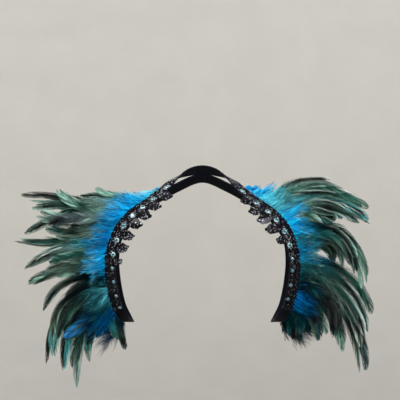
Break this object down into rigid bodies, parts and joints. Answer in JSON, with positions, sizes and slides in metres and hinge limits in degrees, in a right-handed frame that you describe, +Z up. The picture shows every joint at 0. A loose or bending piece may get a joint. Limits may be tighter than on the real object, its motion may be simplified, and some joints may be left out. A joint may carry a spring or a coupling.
{
  "type": "feather shawl collar",
  "caption": "Feather shawl collar: a beaded ribbon band in a figure of eight round both armholes, with beaded leaves, cut stones and a fringe of dyed rooster feathers on the shoulders.",
  "frame": {"origin": "the nape of the neck, on the line along which the band is sewn", "axes": "+Z up, the wearer faces -Y, +X to the wearer's left"},
  "size_m": [0.6, 0.2226, 0.3788],
  "materials": {
    "band": "woven navy-black ribbon",
    "leaf": "black bugle beads with a purple glint",
    "stone": "clear aqua cut stone in a dark setting",
    "feathers": "dyed rooster feathers, bright blue down and dark green vanes"
  },
  "bodies": {
    "root": {"collar_band": "band", "feather_fringe_left": "feathers", "feather_fringe_right": "feathers", "leaf_left_1": "leaf", "leaf_left_2": "leaf", "leaf_left_3": "leaf", "leaf_left_4": "leaf", "leaf_left_5": "leaf", "leaf_right_1": "leaf", "leaf_right_2": "leaf", "leaf_right_3": "leaf", "leaf_right_4": "leaf", "leaf_right_5": "leaf", "leaf_right_6": "leaf", "leaf_right_7": "leaf", "stone_left_1": "stone", "stone_left_2": "stone", "stone_left_3": "stone", "stone_left_4": "stone", "stone_left_5": "stone", "stone_left_6": "stone", "stone_left_7": "stone", "stone_left_8": "stone", "stone_left_9": "stone", "stone_left_10": "stone", "stone_right_1": "stone", "stone_right_2": "stone", "stone_right_3": "stone", "stone_right_4": "stone", "stone_right_5": "stone", "stone_right_6": "stone", "stone_right_7": "stone", "stone_right_8": "stone", "stone_right_9": "stone", "stone_right_10": "stone", "stone_right_11": "stone"}
  },
  "joints": []
}
